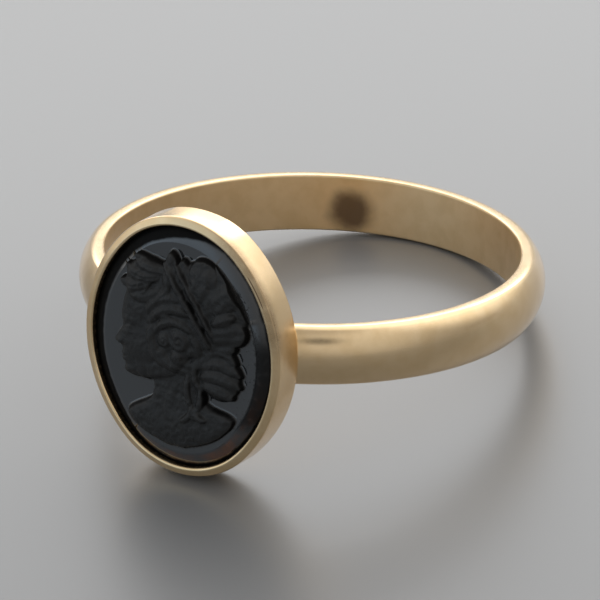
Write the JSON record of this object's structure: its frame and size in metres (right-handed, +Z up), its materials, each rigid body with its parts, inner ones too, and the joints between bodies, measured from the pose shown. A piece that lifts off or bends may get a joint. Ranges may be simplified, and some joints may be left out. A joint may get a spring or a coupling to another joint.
{
  "type": "cameo ring",
  "caption": "Finger ring with a plain domed shank and a closed oval bezel that holds a black stone carved with a bust in relief.",
  "frame": {"origin": "centre of the bounding box at the surface that the ring rests on", "axes": "+Z up, -Y towards the stone's face, +X to the right of somebody who looks at the stone; the ring lies as it rests by itself"},
  "size_m": [0.0184, 0.0196, 0.0106],
  "materials": {
    "gold": "polished pale yellow gold",
    "stone": "glossy black, the carved relief matt"
  },
  "bodies": {
    "root": {"gold_ring": "gold", "cameo": "stone"}
  },
  "joints": []
}
